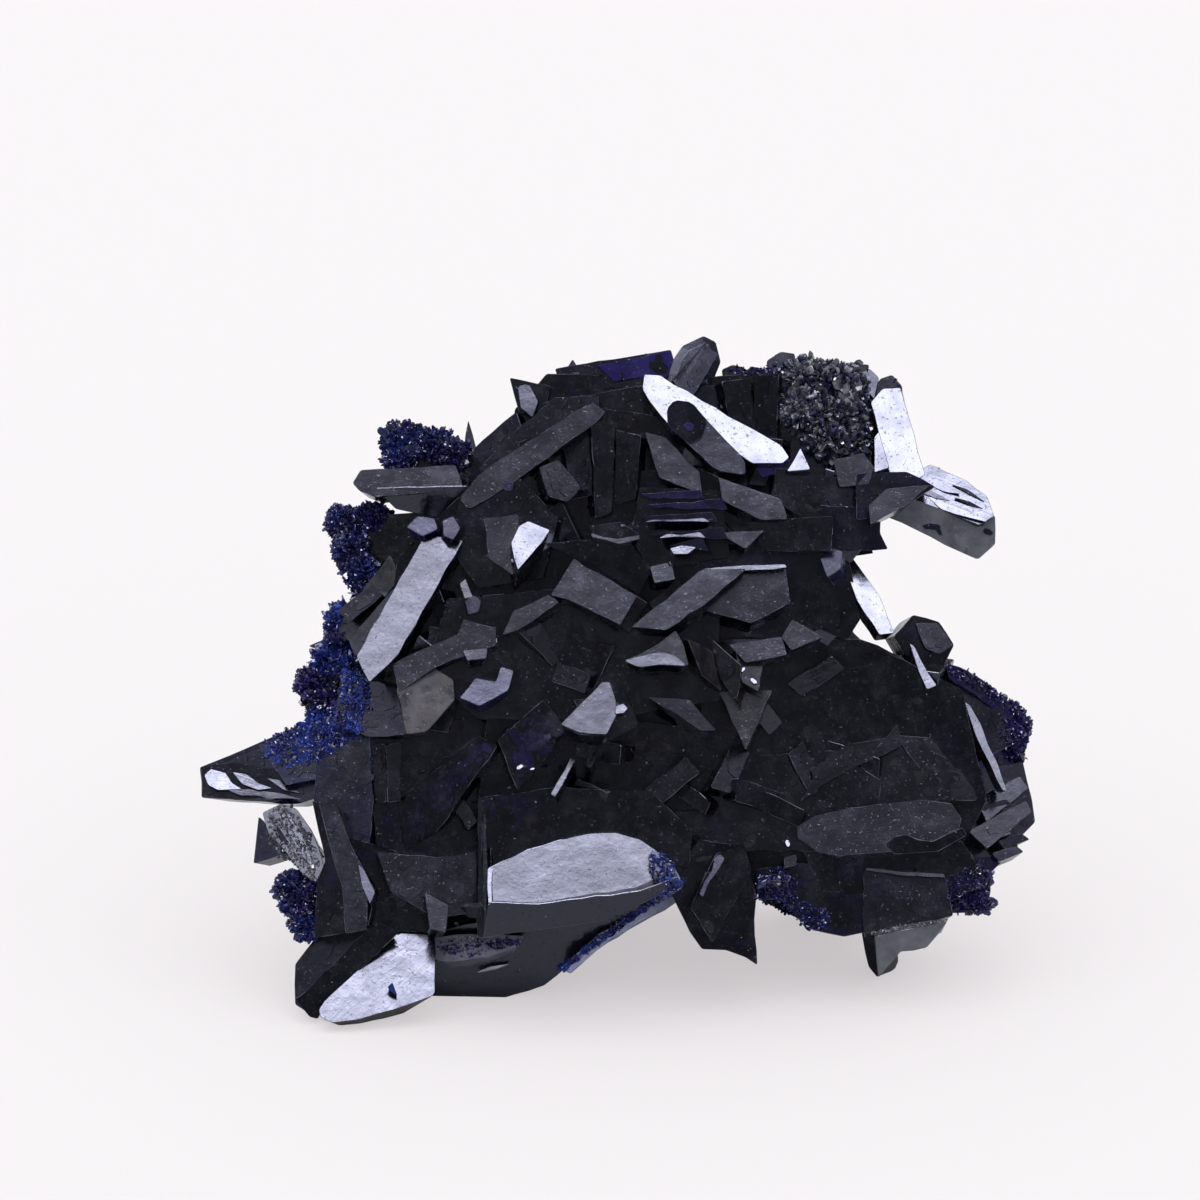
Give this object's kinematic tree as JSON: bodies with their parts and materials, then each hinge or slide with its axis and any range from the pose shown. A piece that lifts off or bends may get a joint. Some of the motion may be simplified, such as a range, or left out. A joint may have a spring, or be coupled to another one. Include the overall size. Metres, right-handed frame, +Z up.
{
  "type": "azurite specimen",
  "caption": "Azurite specimen: one intergrown cluster of near-black blue tabular crystals with blue druse, resting on its lowest crystals.",
  "frame": {"origin": "centre of the bounding box's bottom face, on the surface that the specimen rests on", "axes": "+X along the width, from the pointed left horn to the right flank, +Y from the displayed front to the back, +Z up"},
  "size_m": [0.0518, 0.0304, 0.0372],
  "materials": {
    "azurite": "glassy"
  },
  "bodies": {
    "root": {"azurite_cluster": "azurite"}
  },
  "joints": []
}
